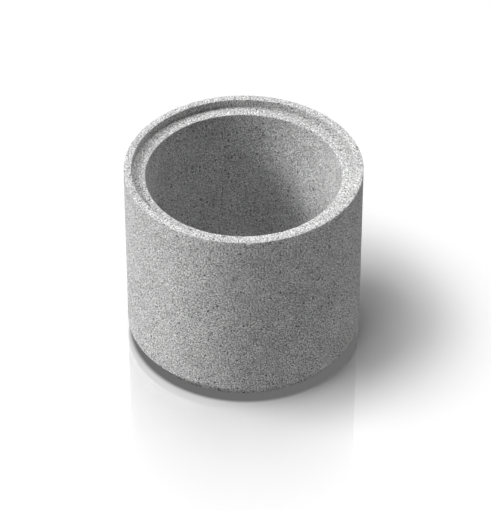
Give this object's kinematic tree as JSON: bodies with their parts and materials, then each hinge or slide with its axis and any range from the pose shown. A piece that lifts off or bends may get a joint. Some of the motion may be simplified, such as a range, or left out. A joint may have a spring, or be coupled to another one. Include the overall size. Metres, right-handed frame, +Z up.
{
  "type": "concrete flue liner",
  "caption": "Round concrete flue liner: a short cast pipe section with a rebated socket round its top and a spigot at its foot, stacked to line a chimney.",
  "frame": {"origin": "centre of the spigot's end face, on the flue's axis, where the liner stands", "axes": "+Z up along the flue towards the socket; X and Y are alike, because the liner is round"},
  "size_m": [0.244, 0.244, 0.208],
  "materials": {
    "concrete": "matt cast concrete, fine grey grain with dark and pale specks and small pores"
  },
  "bodies": {
    "root": {"flue_liner": "concrete"}
  },
  "joints": []
}
